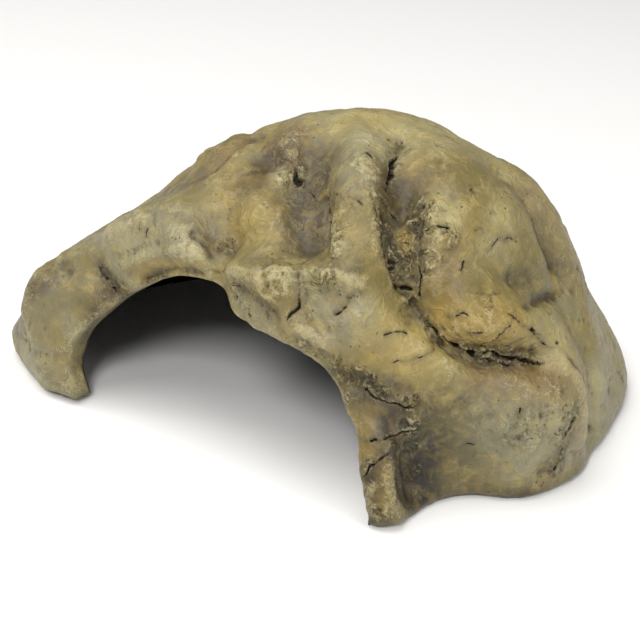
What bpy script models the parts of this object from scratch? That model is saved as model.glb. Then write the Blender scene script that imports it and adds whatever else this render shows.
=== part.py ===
# Resin cave ornament: one hollow casting in the shape of a weathered rock dome, with a wide arched
# mouth and an open base, standing on four small rubber pads that sit in pockets in its rim.
#
# Frame: +X runs across the mouth, -Y is the mouth's side and +Z is up. The origin is the centre of the
# bounding box's bottom face. Lengths below are millimetres, and angles are degrees. A place on the rock
# is given from the dome's axis by its bearing (0 at +X, 90 at +Y) and its climb (0 at the rim, 90 at
# the top).

import math

import bmesh
import bpy
import numpy as np

MM = 0.001

# Driving dimensions
DOME_HEIGHT = 83.5
WALL = 9.0
PAD_DIAMETER = 5.0
PAD_HEIGHT = 1.5
PAD_SINK = 0.9
PAD_GAP = 0.3
RIM_HEIGHT = PAD_HEIGHT - PAD_SINK

# How far the two cutters run on below the rim. They differ so that the cutters' floors never coincide
CAVITY_DIP = 12.0
MOUTH_DIP = 8.0

# Mesh fineness: squares along one side of the cube that each dome is blown up from
OUTER_SQUARES = 32
CAVITY_SQUARES = 18
PAD_SIDES = 20

# Plan of the dome: bearing, radius at the rim, radius at the shoulder, squareness of the profile
PLAN = [
    (-157, 108.5, 90, 1.65),
    (-136, 88, 79, 1.95),
    (-113, 65, 65, 2.25),
    (-90, 57, 59, 2.4),
    (-68, 60, 61, 2.4),
    (-51, 77, 67, 2.4),
    (-44, 75, 67, 2.4),
    (-36, 69, 69, 2.4),
    (-28, 69.5, 70, 2.4),
    (-20, 77, 71, 2.4),
    (-4, 79, 73, 2.4),
    (16, 75.5, 73.5, 2.15),
    (36, 78.5, 71, 2.0),
    (60, 74, 66, 1.9),
    (90, 62, 59, 1.75),
    (120, 67, 61, 1.55),
    (150, 86, 74, 1.4),
    (180, 103, 88, 1.4),
]
SHOULDER_CLIMB = 40.0

# Rounded swellings and hollows: bearing, climb, radius, height
LUMPS = [
    (-75, 43, 16, 5.0),
    (-62, 38, 12, 2.5),
    (-22, 22, 15, 4.0),
    (-8, 20, 15, 4.0),
    (-25, 38, 9, 3.5),
    (-15, 36, 9, 3.0),
    (-13, 44, 8, -3.0),
    (-20, 58, 20, 3.0),
    (0, 52, 14, 2.0),
    (24, 4, 14, 2.0),
    (27, 24, 14, -2.0),
    (26, 54, 16, 2.8),
    (-42, 30, 12, 3.0),
    (-51, 6, 9, 2.0),
    (-41.5, 9, 6.5, -6.5),
    (-101, 51, 6.5, -3.5),
    (-143, 12, 18, 3.0),
    (-153, 14, 8, -2.0),
    (-149, 21, 14, 3.0),
    (-136, 2, 8, 2.0),
    (-170, 80, 14, 1.0),
    (-156, 64, 10, 2.0),
    (62, 30, 22, 4.5),
    (96, 46, 20, 4.0),
    (128, 26, 22, 5.0),
    (168, 46, 20, 4.0),
    (84, 12, 14, 3.0),
    (-172, 22, 16, 3.5),
]

# Ridges and valleys that run along a line: places (bearing, climb), half width, height
RUNS = [
    ([(-146, 18), (-141, 28), (-134, 39), (-125, 47), (-115, 49.5), (-106, 47)], 8, 6.5),
    ([(-150, 44), (-138, 54), (-127, 60), (-117, 60), (-109, 56)], 7, -4.5),
    ([(-140, 27), (-134, 28), (-127, 28)], 3.5, -3.0),
    ([(-99, 47), (-97, 40)], 4, -3.5),
    ([(-93, 46.5), (-82, 47.5), (-70, 48), (-60, 47), (-53, 44)], 6, 2.5),
    ([(-96, 55), (-88, 56), (-80, 56)], 7, -1.5),
    ([(-86, 75), (-79, 68), (-74, 61), (-71, 54)], 8, -6.0),
    ([(-140, 72), (-126, 71), (-108, 69), (-95, 67), (-88, 64)], 5, -3.0),
    ([(-140, 74), (-148, 62), (-153, 50)], 4, -2.0),
    ([(-55, 78), (-55, 68), (-55, 58), (-55, 50)], 6.5, 3.5),
    ([(-22, 80), (-33, 73), (-35, 66), (-37, 60)], 5, -4.0),
    ([(-37, 62), (-38.5, 54), (-39.5, 47), (-39.5, 43)], 6.5, -5.0),
    ([(-40, 43), (-36.5, 38.5), (-33, 35)], 5, -3.5),
    ([(-35, 34), (-28, 31), (-21, 29.5), (-13, 27.5)], 4.5, -5.0),
    ([(12, 60), (8, 50), (6, 40), (4, 30), (3, 18), (2, 6)], 6, -5.0),
    ([(-13, 38.5), (-8, 38.5), (0, 36)], 4, -3.0),
    ([(-60, 31), (-54, 29), (-51, 26), (-46, 24), (-41, 24)], 4, -2.5),
    ([(-56, 18), (-49, 18.5), (-42, 19)], 3, -2.0),
    ([(40, 66), (44, 50), (38, 32), (44, 14)], 7, -4.5),
    ([(88, 70), (80, 52), (86, 36), (76, 20), (82, 6)], 7, -4.5),
    ([(150, 68), (140, 50), (146, 32), (138, 12)], 8, -4.5),
    ([(112, 58), (116, 42), (106, 26)], 6, -3.5),
    ([(-178, 60), (176, 42), (-176, 26), (178, 10)], 7, -3.5),
]
RUN_STEP = 2.0

# Outline of the mouth seen from the front: across from the dome's axis, height above the rim plane
MOUTH = [
    (-53, -MOUTH_DIP),
    (-53.5, 3.5),
    (-57.5, 9),
    (-58.5, 14.5),
    (-56.5, 20),
    (-52, 25.5),
    (-43, 34),
    (-36, 39),
    (-30, 43),
    (-23, 46.3),
    (-16, 48.6),
    (-9.5, 48.6),
    (-6, 46.5),
    (-1.5, 42.3),
    (7, 41.6),
    (20, 39.8),
    (25, 37.5),
    (29, 33.6),
    (33, 29.5),
    (36, 25),
    (39, 20),
    (45, 8),
    (48.5, -MOUTH_DIP),
]
MOUTH_REACH = 90.0
MOUTH_DEPTH = 20.0

# Where the pads sit: name, bearing, distance from the dome's axis
PADS = [
    ("foot_pad_front_left", -147, 96),
    ("foot_pad_front_right", -34, 63),
    ("foot_pad_back_right", 36, 73),
    ("foot_pad_back_left", 158, 86),
]

RESIN_COLOUR = (0.30, 0.25, 0.13, 1.0)
RUBBER_COLOUR = (0.02, 0.02, 0.02, 1.0)


def clear_scene():
    for thing in list(bpy.data.objects):
        bpy.data.objects.remove(thing, do_unlink=True)


def make_material(name, colour, roughness):
    material = bpy.data.materials.new(name)
    material.use_nodes = True
    shader = material.node_tree.nodes["Principled BSDF"]
    shader.inputs["Base Color"].default_value = colour
    shader.inputs["Roughness"].default_value = roughness
    shader.inputs["Metallic"].default_value = 0.0
    return material


def around(bearing, column):
    """One column of PLAN at any bearing, as a smooth closed curve through its entries."""
    knots = np.array([row[0] for row in PLAN], float) - PLAN[0][0]
    values = np.array([row[column] for row in PLAN], float)
    count = len(knots)
    before = np.append(knots[-1] - 360.0, knots[:-1])
    after = np.append(knots[1:], 360.0)
    slopes = (np.roll(values, -1) - np.roll(values, 1)) / (after - before)
    turn = np.mod(np.asarray(bearing, float) - PLAN[0][0], 360.0)
    i = np.clip(np.searchsorted(knots, turn, side="right") - 1, 0, count - 1)
    j = (i + 1) % count
    span = after[i] - knots[i]
    t = (turn - knots[i]) / span
    start = (1 + 2 * t) * (1 - t) ** 2 * values[i] + t * (1 - t) ** 2 * span * slopes[i]
    end = t ** 2 * (3 - 2 * t) * values[j] + t ** 2 * (t - 1) * span * slopes[j]
    return start + end


def direction(bearing, climb):
    b = np.radians(bearing)
    c = np.radians(climb)
    return np.stack([np.cos(b) * np.cos(c), np.sin(b) * np.cos(c), np.sin(c)], axis=-1)


def plain_radius(bearing, climb, inset=0.0):
    """Distance from the dome's centre to the smooth dome, drawn in by an inset."""
    t = np.clip(np.asarray(climb, float) / SHOULDER_CLIMB, 0, 1)
    blend = t * t * (3 - 2 * t)
    plan_radius = around(bearing, 1) * (1 - blend) + around(bearing, 2) * blend - inset
    power = around(bearing, 3)
    flat = (np.cos(np.radians(climb)) / plan_radius) ** power
    tall = (np.sin(np.radians(climb)) / (DOME_HEIGHT - inset)) ** power
    return (flat + tall) ** (-1 / power)


def plain_point(bearing, climb):
    return direction(bearing, climb) * plain_radius(bearing, climb)[..., None]


def run_points(places):
    """Points every RUN_STEP or so along a smooth curve through places on the smooth dome."""
    stops = np.array(places, float)
    stops[:, 0] = np.degrees(np.unwrap(np.radians(stops[:, 0])))
    padded = np.vstack([stops[:1], stops, stops[-1:]])
    pieces = []
    for a, b, c, d in zip(padded[:-3], padded[1:-2], padded[2:-1], padded[3:]):
        length = np.linalg.norm(plain_point(*c) - plain_point(*b))
        t = np.linspace(0, 1, max(2, round(length / RUN_STEP)), endpoint=False)[:, None]
        curve = 2 * b + (c - a) * t + (2 * a - 5 * b + 4 * c - d) * t ** 2
        curve += (3 * b - a - 3 * c + d) * t ** 3
        pieces.append(curve / 2)
    line = np.vstack(pieces + [stops[-1:]])
    return plain_point(line[:, 0], line[:, 1])


def relief(points):
    """How far each point of the smooth dome is pushed out, from the lumps and the runs."""
    push = np.zeros(len(points))
    for bearing, climb, radius, height in LUMPS:
        gap = np.linalg.norm(points - plain_point(bearing, climb), axis=1)
        push += height * np.exp(-(gap / radius) ** 2)
    for places, half_width, height in RUNS:
        line = run_points(places)
        gap = np.linalg.norm(points[:, None, :] - line[None, :, :], axis=2).min(axis=1)
        push += height * np.exp(-(gap / half_width) ** 2)
    return push


def half_ball(squares):
    """The upper half of a cube blown up to a ball: a bmesh whose lowest ring lies at climb 0."""
    bm = bmesh.new()
    bmesh.ops.create_cube(bm, size=2.0)
    bmesh.ops.subdivide_edges(bm, edges=bm.edges, cuts=squares - 1, use_grid_fill=True)
    lower = [v for v in bm.verts if v.co.z < -1e-4]
    bmesh.ops.delete(bm, geom=lower, context="VERTS")
    for v in bm.verts:
        v.co = [math.tan(c * math.pi / 4) for c in v.co]
        v.co.normalize()
    return bm


def close_below(bm, drop):
    """Carries the open lowest ring straight down by drop and fills it with one flat face."""
    ring = [e for e in bm.edges if e.is_boundary]
    skirt = bmesh.ops.extrude_edge_only(bm, edges=ring)["geom"]
    for v in [g for g in skirt if isinstance(g, bmesh.types.BMVert)]:
        v.co.z -= drop
    bmesh.ops.holes_fill(bm, edges=[e for e in bm.edges if e.is_boundary], sides=0)
    bmesh.ops.recalc_face_normals(bm, faces=bm.faces)


def dome_mesh(name, squares, inset, drop, rough):
    """A closed dome: its skin drawn in by inset, carried down by drop below its lowest ring."""
    bm = half_ball(squares)
    ways = np.array([v.co[:] for v in bm.verts])
    bearing = np.degrees(np.arctan2(ways[:, 1], ways[:, 0]))
    climb = np.degrees(np.arcsin(np.clip(ways[:, 2], 0, 1)))
    reach = plain_radius(bearing, climb, inset)
    if rough:
        reach = reach + relief(plain_point(bearing, climb))
    for v, spot in zip(bm.verts, ways * reach[:, None] * MM):
        v.co = spot
    close_below(bm, drop * MM)
    mesh = bpy.data.meshes.new(name)
    bm.to_mesh(mesh)
    bm.free()
    return mesh


def prism_mesh(name, outline, near, far):
    """A closed outline in X and Z, filled and extruded along Y."""
    bm = bmesh.new()
    ring = [bm.verts.new((x * MM, near * MM, z * MM)) for x, z in outline]
    face = bm.faces.new(ring)
    swept = bmesh.ops.extrude_face_region(bm, geom=[face])["geom"]
    for v in [g for g in swept if isinstance(g, bmesh.types.BMVert)]:
        v.co.y = far * MM
    bmesh.ops.recalc_face_normals(bm, faces=bm.faces)
    mesh = bpy.data.meshes.new(name)
    bm.to_mesh(mesh)
    bm.free()
    return mesh


def disc_mesh(name, diameter, height):
    """An upright cylinder whose bottom face lies at its own z = 0."""
    bm = bmesh.new()
    radius = diameter / 2 * MM
    bmesh.ops.create_cone(bm, cap_ends=True, segments=PAD_SIDES, radius1=radius, radius2=radius,
                          depth=height * MM)
    bmesh.ops.translate(bm, verts=bm.verts, vec=(0, 0, height / 2 * MM))
    mesh = bpy.data.meshes.new(name)
    bm.to_mesh(mesh)
    bm.free()
    return mesh


def add_object(mesh, location=(0, 0, 0)):
    thing = bpy.data.objects.new(mesh.name, mesh)
    thing.location = location
    bpy.context.scene.collection.objects.link(thing)
    return thing


def cut(body, cutter):
    """Takes the cutter out of the body with a Boolean modifier that stays on the body."""
    cutter.hide_render = True
    cutter.display_type = "WIRE"
    boolean = body.modifiers.new("cut_" + cutter.name, "BOOLEAN")
    boolean.operation = "DIFFERENCE"
    boolean.solver = "EXACT"
    boolean.object = cutter


def pad_place(bearing, distance, axis):
    x = axis[0] + distance * math.cos(math.radians(bearing)) * MM
    y = axis[1] + distance * math.sin(math.radians(bearing)) * MM
    return (x, y, 0.0)


def build_shell():
    """The casting, with its plan centred on the origin. Returns it and its dome's axis."""
    mesh = dome_mesh("cave_shell", OUTER_SQUARES, 0.0, 0.0, rough=True)
    corners = np.array([v.co[:] for v in mesh.vertices])
    axis = -(corners.min(axis=0) + corners.max(axis=0)) / 2
    place = (axis[0], axis[1], RIM_HEIGHT * MM)
    shell = add_object(mesh, place)
    mesh.shade_smooth()
    mesh.set_sharp_from_angle(angle=math.radians(50))
    cut(shell, add_object(dome_mesh("cavity", CAVITY_SQUARES, WALL, CAVITY_DIP, rough=False), place))
    cut(shell, add_object(prism_mesh("mouth", MOUTH, -MOUTH_REACH, -MOUTH_DEPTH), place))
    for name, bearing, distance in PADS:
        pocket = disc_mesh(name + "_pocket", PAD_DIAMETER + 2 * PAD_GAP, PAD_HEIGHT + PAD_GAP)
        cut(shell, add_object(pocket, pad_place(bearing, distance, axis)))
    shell.data.materials.append(make_material("cast_resin", RESIN_COLOUR, 0.7))
    return shell, axis


def build_pads(axis):
    rubber = make_material("black_rubber", RUBBER_COLOUR, 0.8)
    for name, bearing, distance in PADS:
        pad = add_object(disc_mesh(name, PAD_DIAMETER, PAD_HEIGHT), pad_place(bearing, distance, axis))
        pad.data.materials.append(rubber)
        pad.data.shade_smooth()
        pad.data.set_sharp_from_angle(angle=math.radians(40))


clear_scene()
cave_shell, dome_axis = build_shell()
build_pads(dome_axis)
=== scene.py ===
# Looks of the resin cave ornament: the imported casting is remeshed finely, sculpted with the rock's
# creases, cracks, pits and crumbs, and painted by masks that follow the relief.
#
# Lengths are millimetres unless a comment says metres. A place on the rock is its bearing (degrees,
# 0 at +X, 90 at +Y) and its climb (0 at the rim, 90 at the top), both seen from the axis's foot.

import math

import bmesh
import bpy
import numpy as np
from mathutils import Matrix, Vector
from mathutils.bvhtree import BVHTree


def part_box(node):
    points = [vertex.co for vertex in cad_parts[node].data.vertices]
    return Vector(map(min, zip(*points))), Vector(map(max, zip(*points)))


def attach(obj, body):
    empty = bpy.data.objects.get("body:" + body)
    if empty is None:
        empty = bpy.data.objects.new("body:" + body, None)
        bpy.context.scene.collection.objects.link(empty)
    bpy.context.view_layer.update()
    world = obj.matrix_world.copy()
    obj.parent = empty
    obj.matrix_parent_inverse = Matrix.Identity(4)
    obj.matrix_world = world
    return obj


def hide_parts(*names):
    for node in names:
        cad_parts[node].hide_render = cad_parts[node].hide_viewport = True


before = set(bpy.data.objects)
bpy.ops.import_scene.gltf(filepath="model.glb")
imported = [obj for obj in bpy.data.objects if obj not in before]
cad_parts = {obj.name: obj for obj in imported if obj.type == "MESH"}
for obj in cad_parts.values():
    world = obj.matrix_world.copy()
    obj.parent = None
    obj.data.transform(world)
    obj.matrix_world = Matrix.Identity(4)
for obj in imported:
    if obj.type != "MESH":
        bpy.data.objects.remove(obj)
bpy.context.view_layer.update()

MM = 0.001

# The dome's axis, from the middle of the shell's box; its foot is on the rim's plane
AXIS_FROM_MIDDLE = (13.43, -1.37)

# Camera: bearing round the object, height angle, distance and the point it looks at, from the foot
VIEW_TURN = 37.0
VIEW_RISE = 27.0
VIEW_DISTANCE = 425.0
VIEW_TARGET = (0.0, -18.0, 27.0)
LENS = 85.0
SENSOR = 36.0

# Area lights: name, place and size in metres, power in watts, colour
LIGHTS = [
    ("softbox", (-0.12, -0.18, 1.10), 0.9, 9.0, (1.0, 0.99, 0.96)),
    ("left", (-0.90, -0.25, 0.60), 0.4, 2.4, (1.0, 0.98, 0.95)),
    ("front", (0.28, -0.64, 0.66), 0.25, 4.2, (1.0, 0.99, 0.97)),
    ("right", (0.95, -0.10, 0.60), 0.5, 3.0, (1.0, 0.99, 0.97)),
]
LIT_POINT = (0.0, 0.0, 0.03)
WORLD_LIGHT = 0.26

# The paper that the rock stands on: half its width in metres, and its whiteness
PAPER_HALF = 3.0
PAPER_WHITE = 0.88

# The base mesh: voxel, rounds of smoothing, how far in the skin must face to count as inside, and
# the share of its faces kept there
VOXEL = 0.9
BASE_SMOOTHING = 26
INNER_FACING = -0.15
INNER_KEPT = 0.6

# Where faces are split: beside a crack's line, again at its broken middle, and in the core of
# every patch that is rough enough
CRACK_BAND = 1.6
CRACK_CORE = 0.75
ROUGH_PATCH = 0.5
PATCH_CORE = 0.8

# The left leg's toe beside the mouth: its place, rounds of extra smoothing, its move in and up,
# and the distances from it where both start, where it is fully rounded and where fully moved
TOE = (-132.0, 2.0)
TOE_SMOOTHING = 60
TOE_SHIFT = (-1.2, 1.6, 1.8)
TOE_REACH = 15.0
TOE_ROUNDED = 7.0
TOE_MOVED = 3.0

# A soft form ends at this many half widths
FORM_REACH = 3.0

# Farther than any distance that counts, in millimetres or in cells
FAR = 9.0

# The chips of the crumbling patches are longer downhill and to the right than across
CHIP_STRETCH = np.array([[1.15, 0.0, -0.25], [0.0, 1.1, 0.15], [0.3, 0.1, 0.62]])


# ---------------- numbers

def smooth_step(x, low, high):
    """0 at low and beyond, 1 at high and beyond, and a smooth rise between; low may be the larger."""
    t = np.clip((x - low) / (high - low), 0.0, 1.0)
    return t * t * (3.0 - 2.0 * t)


def mix(a, b, weight):
    """Blends two values, or an array of colours towards one colour."""
    w = np.asarray(weight)
    if np.ndim(a) > 1:
        w = w[:, None]
    return a * (1.0 - w) + np.asarray(b) * w


def scramble(cells, seed):
    """One well mixed 32-bit number for each row of whole-number cell coordinates."""
    h = np.full(len(cells), (seed * 2654435761) & 0xFFFFFFFF, np.uint32)
    for k, prime in enumerate((0x8DA6B343, 0xD8163841, 0xCB1AB31F)):
        h ^= cells[:, k].astype(np.int64).astype(np.uint32) * np.uint32(prime)
        h ^= h >> np.uint32(15)
        h *= np.uint32(0x85EBCA6B)
    h ^= h >> np.uint32(13)
    h *= np.uint32(0xC2B2AE35)
    return h ^ (h >> np.uint32(16))


def noise(points, size, seed):
    """Smooth noise between about -1 and 1 with features of the given size."""
    p = points / size
    cell = np.floor(p)
    f = p - cell
    fade = f * f * f * (f * (f * 6.0 - 15.0) + 10.0)
    total = np.zeros(len(points))
    for corner in np.ndindex(2, 2, 2):
        h = scramble(cell + corner, seed)
        away = f - corner
        pull = np.zeros(len(points))
        for k in range(3):
            pull += (((h >> np.uint32(10 * k)) & np.uint32(1023)) / 511.5 - 1.0) * away[:, k]
        weight = np.ones(len(points))
        for k in range(3):
            weight = weight * (fade[:, k] if corner[k] else 1.0 - fade[:, k])
        total += weight * pull
    return total * 1.4  # brings its range to about -1 to 1


def fractal(points, size, seed, octaves=3, gain=0.5):
    """Noise of several sizes added up, each half the size of the one before."""
    total = np.zeros(len(points))
    strength = 1.0
    for octave in range(octaves):
        total += strength * noise(points, size / 2.0 ** octave, seed + 17 * octave)
        strength *= gain
    return total


def hash_parts(h):
    """Three numbers from 0 to 1 out of each 32-bit one."""
    return np.stack([((h >> np.uint32(10 * k)) & np.uint32(1023)) / 1023.0 for k in range(3)], axis=1)


def shards(points, size, seed):
    """A scatter of tilted chips: each point's height on the nearest chip (about -1 to 1), and its
    distance, in cells, to that chip's centre."""
    p = points / size
    cell = np.floor(p)
    nearest = np.full(len(points), FAR)
    height = np.zeros(len(points))
    for step in np.ndindex(3, 3, 3):
        corner = cell + step - 1.0
        h = scramble(corner, seed)
        away = p - corner - hash_parts(h)
        gap = np.linalg.norm(away, axis=1)
        tilt = hash_parts(h * np.uint32(0x9E3779B1)) * 2.0 - 1.0
        level = (h % np.uint32(997)) / 498.0 - 1.0
        chip = 0.5 * level + 0.9 * np.einsum("ij,ij->i", tilt, away)
        height = np.where(gap < nearest, chip, height)
        nearest = np.minimum(nearest, gap)
    return height, nearest


def crinkled(points, size, seed, octaves):
    """Sharp-crested folds of several sizes, from 0 in their hollows to 1 on their crests."""
    total = np.zeros(len(points))
    whole = 0.0
    for octave in range(octaves):
        strength = 0.6 ** octave
        wave = noise(points, size / 2.0 ** octave, seed + 17 * octave)
        total += strength * np.clip(1.0 - 1.7 * np.abs(wave), 0.0, 1.0)
        whole += strength
    return total / whole


def warped(points, size, amount, seed):
    """The points, each moved by smooth noise, to make ruled shapes look natural."""
    shift = np.stack([noise(points, size, seed + k) for k in range(3)], axis=1)
    return points + amount * shift


# ---------------- meshes

def vertex_array(mesh, name="co"):
    """The vertices' places, or their normals, one row for each."""
    values = np.empty(len(mesh.vertices) * 3, np.float32)
    mesh.vertices.foreach_get(name, values)
    return values.reshape(-1, 3).astype(float)


def set_vertices(mesh, points):
    mesh.vertices.foreach_set("co", points.astype(np.float32).ravel())
    mesh.update()


class Links:
    """A mesh's edges, ready for averaging values over each vertex's neighbours."""

    def __init__(self, mesh):
        pairs = np.empty(len(mesh.edges) * 2, np.int32)
        mesh.edges.foreach_get("vertices", pairs)
        self.ends = pairs.reshape(-1, 2)
        self.count = len(mesh.vertices)
        self.degree = np.maximum(np.bincount(pairs, minlength=self.count), 1).astype(float)

    def mean(self, values):
        """Each vertex's neighbours' average."""
        a, b = self.ends[:, 0], self.ends[:, 1]
        if values.ndim == 1:
            total = np.bincount(a, values[b], self.count) + np.bincount(b, values[a], self.count)
            return total / self.degree
        return np.stack([self.mean(values[:, k]) for k in range(values.shape[1])], axis=1)

    def smooth(self, values, rounds, strength, weight=None):
        """The values, moved towards their neighbours' average again and again."""
        for _ in range(rounds):
            move = strength * (self.mean(values) - values)
            values = values + (move if weight is None else move * weight)
        return values


def apply_modifiers(thing):
    """Gives the object the mesh that its modifiers make."""
    graph = bpy.context.evaluated_depsgraph_get()
    mesh = bpy.data.meshes.new_from_object(thing.evaluated_get(graph))
    thing.modifiers.clear()
    thing.data = mesh
    return mesh


def add_object(name, data):
    thing = bpy.data.objects.new(name, data)
    bpy.context.scene.collection.objects.link(thing)
    return thing


# ---------------- the rock's own coordinates

SHELL_LOW, SHELL_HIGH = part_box("cave_shell")
AXIS = np.array([
    (SHELL_LOW.x + SHELL_HIGH.x) / 2 + AXIS_FROM_MIDDLE[0] * MM,
    (SHELL_LOW.y + SHELL_HIGH.y) / 2 + AXIS_FROM_MIDDLE[1] * MM,
    SHELL_LOW.z,
])

# Rays that look for the rock start this far from the foot; one that misses it stops nearer (metres)
OUTSIDE = 0.3
MISSED = 0.07


def rock_points(mesh):
    """The mesh's vertices in millimetres from the axis's foot."""
    return (vertex_array(mesh) - AXIS) / MM


def set_rock_points(mesh, points):
    set_vertices(mesh, points * MM + AXIS)


class Surface:
    """The outside of the smoothed rock, for turning bearings and climbs into points on it."""

    def __init__(self, mesh):
        bm = bmesh.new()
        bm.from_mesh(mesh)
        self.tree = BVHTree.FromBMesh(bm)
        bm.free()

    def spot(self, bearing, climb):
        """The point of the surface at a bearing and a climb."""
        b, c = math.radians(bearing), math.radians(climb)
        way = Vector((math.cos(b) * math.cos(c), math.sin(b) * math.cos(c), math.sin(c)))
        hit = self.tree.ray_cast(Vector(AXIS) + way * OUTSIDE, -way)[0]
        if hit is None:
            hit = Vector(AXIS) + way * MISSED
        return (np.array(hit) - AXIS) / MM

    def line(self, places, step=0.8):
        """Points about every step millimetres along a smooth curve through the places."""
        stops = np.array(places, float)
        stops[:, 0] = np.degrees(np.unwrap(np.radians(stops[:, 0])))
        padded = np.vstack([stops[:1], stops, stops[-1:]])
        points = []
        for a, b, c, d in zip(padded[:-3], padded[1:-2], padded[2:-1], padded[3:]):
            length = np.linalg.norm(self.spot(*c) - self.spot(*b))
            for t in np.linspace(0, 1, max(2, round(length / step)), endpoint=False):
                curve = 2 * b + (c - a) * t + (2 * a - 5 * b + 4 * c - d) * t ** 2
                curve = curve + (3 * b - a - 3 * c + d) * t ** 3
                points.append(self.spot(*(curve / 2)))
        points.append(self.spot(*stops[-1]))
        return np.array(points)


def line_gap(points, line, reach):
    """Distance from each point to a line, how far along it (0 to 1) the nearest place is, and its side.

    The side is +1 on the left of someone who walks the line on the rock, and -1 on the right.
    Points beyond reach keep a distance of reach."""
    gap = np.full(len(points), float(reach))
    along = np.zeros(len(points))
    side = np.ones(len(points))
    low = line.min(axis=0) - reach
    high = line.max(axis=0) + reach
    near = np.nonzero(np.all((points > low) & (points < high), axis=1))[0]
    p = points[near]
    best = np.full(len(near), float(reach))
    place = np.zeros(len(near))
    hand = np.ones(len(near))
    for i in range(len(line) - 1):
        a, b = line[i], line[i + 1]
        span = b - a
        t = np.clip(((p - a) @ span) / max(span @ span, 1e-9), 0, 1)
        d = np.linalg.norm(p - a - t[:, None] * span, axis=1)
        closer = d < best
        best[closer] = d[closer]
        place[closer] = (i + t[closer]) / (len(line) - 1)
        turn = np.einsum("ij,ij->i", np.cross(span, p[closer] - a), p[closer])
        hand[closer] = np.where(turn < 0, -1.0, 1.0)
    gap[near] = best
    along[near] = place
    side[near] = hand
    return gap, along, side


# ---------------- the sculpting, as tables

# Soft forms along a line: places, half width, height (below 0 for a hollow)
FORMS = [
    ([(-129, 34), (-125, 37.8), (-120, 41.8), (-111, 44.8), (-104, 45.6), (-100.5, 45.2)], 1.7, 1.2),
    ([(-123, 34.5), (-117.5, 39), (-110.5, 41.4), (-104, 42.6)], 1.8, -1.9),
    ([(-137, 36), (-131, 40.5), (-125.5, 43.5), (-117, 46), (-109.5, 47.5), (-104, 47.5)], 2.8, 0.6),
    ([(-136, 37), (-127, 42), (-117, 45), (-108, 46)], 6.5, 1.6),
    ([(-150, 44), (-138, 54), (-127, 59), (-117, 58.5)], 6.0, 2.6),
    ([(-107, 50), (-102.5, 50), (-99.5, 50.5)], 3.2, -1.6),
    ([(-100, 57), (-92, 58), (-84, 57)], 5.0, 1.6),
    ([(-93, 46), (-84, 46), (-77, 46.5), (-69, 47.7), (-64, 48), (-59, 47), (-54.5, 45.7)], 2.3, 1.5),
    ([(-79, 44.5), (-75, 45)], 4.5, 1.3),
    ([(-64.5, 44.2), (-61.5, 43.2)], 4.2, -1.2),
    ([(-72, 39.5), (-67, 37.8), (-62, 36)], 2.4, 1.4),
    ([(-60, 40), (-55, 40)], 4.0, 1.0),
    ([(-88, 43.5), (-80, 41.5), (-74, 39.5)], 2.2, -1.1),
    ([(-61, 64), (-60, 58), (-58.5, 51)], 3.0, 1.0),
    ([(-90, 68), (-82, 65), (-76, 60), (-70, 55)], 4.5, -0.6),
    ([(-119, 69), (-112, 69), (-107, 69)], 3.4, -1.7),
    ([(-116, 75), (-108, 74)], 4.5, 1.3),
    ([(-104, 67.5), (-99, 67)], 2.3, 1.0),
    ([(-147, 70), (-137, 62.5), (-138, 56)], 3.0, -1.3),
    ([(-140, 70), (-130, 63), (-124, 57)], 3.5, 1.0),
    ([(-170, 66), (-152, 68)], 2.6, -1.2),
    ([(-157, 56), (-149, 61)], 3.2, 1.3),
    ([(-152, 23), (-146, 21.5), (-141, 24)], 2.8, -1.9),
    ([(-152, 4), (-148, 9), (-144, 15)], 4.0, 1.8),
    ([(-134, 3), (-138, 5), (-141, 9)], 6.0, 1.2),
    ([(-146, 6), (-139, 7.5), (-134, 9.5)], 1.8, -0.9),
    ([(-48, 16), (-48.3, 11), (-48, 6), (-46.5, 1)], 1.9, 1.3),
    ([(-43, 15), (-43.3, 10), (-42.5, 5)], 3.2, -2.2),
    ([(-29.5, 33), (-25.5, 30.8), (-21, 29), (-15, 27.5)], 2.6, -1.6),
    ([(-39, 34), (-35, 31.2), (-33.5, 30)], 3.0, 1.9),
    ([(-31, 37.5), (-25, 35.5), (-18, 33.5)], 4.5, 2.0),
    ([(-16, 78), (-27, 75), (-34, 72), (-37, 69), (-40, 66)], 2.2, -1.8),
    ([(-44, 59), (-43.5, 53), (-41.5, 48)], 3.4, -1.2),
    ([(-37, 57), (-37, 51), (-37, 46)], 3.4, 1.2),
    ([(-49, 60), (-49, 54), (-46, 48), (-43, 44)], 2.2, 0.9),
    ([(-29, 58), (-31, 53), (-33, 49), (-34, 46)], 3.0, 0.9),
    ([(-52, 68), (-50, 63)], 4.0, 1.0),
    ([(-13, 43), (-10, 42), (-7, 40.5)], 4.0, -1.2),
    ([(11, 55), (8, 49), (7, 44), (9, 39), (11, 34)], 2.6, -1.5),
    ([(-12, 37), (-6, 37), (2, 36), (8, 35)], 2.0, -1.1),
    ([(-14, 33), (-10, 28), (-8, 22), (-7, 16), (-6, 9)], 2.4, 1.1),
    ([(-18, 20), (-16, 13), (-17, 6)], 2.6, -0.9),
    ([(-55, 23), (-50, 21.5), (-45, 21)], 3.2, -1.2),
    ([(-57, 29), (-51, 28.5), (-46, 28), (-41, 24)], 2.6, -1.0),
    ([(170, 52), (160, 40), (168, 28)], 4.0, 1.6),
    ([(100, 54), (92, 44), (98, 32)], 4.0, 1.5),
    ([(52, 58), (50, 46), (54, 34)], 3.6, 1.4),
    ([(124, 20), (116, 12), (104, 10)], 3.4, -1.3),
    ([(70, 18), (60, 12), (52, 12)], 3.4, -1.3),
]

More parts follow.
